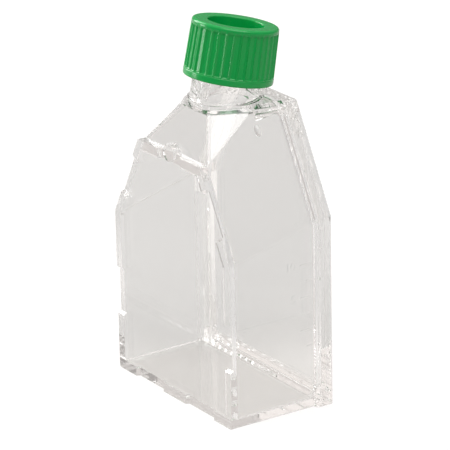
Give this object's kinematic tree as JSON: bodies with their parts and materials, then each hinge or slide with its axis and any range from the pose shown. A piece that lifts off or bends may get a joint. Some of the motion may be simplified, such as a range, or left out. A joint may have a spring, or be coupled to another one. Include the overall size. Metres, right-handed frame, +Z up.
{
  "type": "cell culture flask",
  "caption": "Clear upright culture flask with a flat growth plate, sloping shoulders, a canted neck and a ribbed green plug-seal screw cap.",
  "frame": {"origin": "middle of the flat end face that the flask stands on", "axes": "+Z up towards the neck, +X across the width, -Y out of the growth plate"},
  "size_m": [0.0524, 0.0304, 0.0938],
  "materials": {
    "clear_body": "clear moulded polystyrene",
    "clear_plate": "clear moulded polystyrene",
    "clear_lid": "clear moulded polystyrene",
    "green_cap": "satin green polyethylene"
  },
  "bodies": {
    "flask": {"flask_body": "clear_body", "growth_plate": "clear_plate", "lid": "clear_lid"},
    "cap": {"screw_cap": "green_cap"}
  },
  "joints": [
    {"name": "cap_unscrew", "type": "hinge", "parent": "flask", "child": "cap", "pos_m": [0, 0.0021, 0.0732], "axis": [0, 0.1908, 0.9816], "range_deg": [0, 450]}
  ]
}
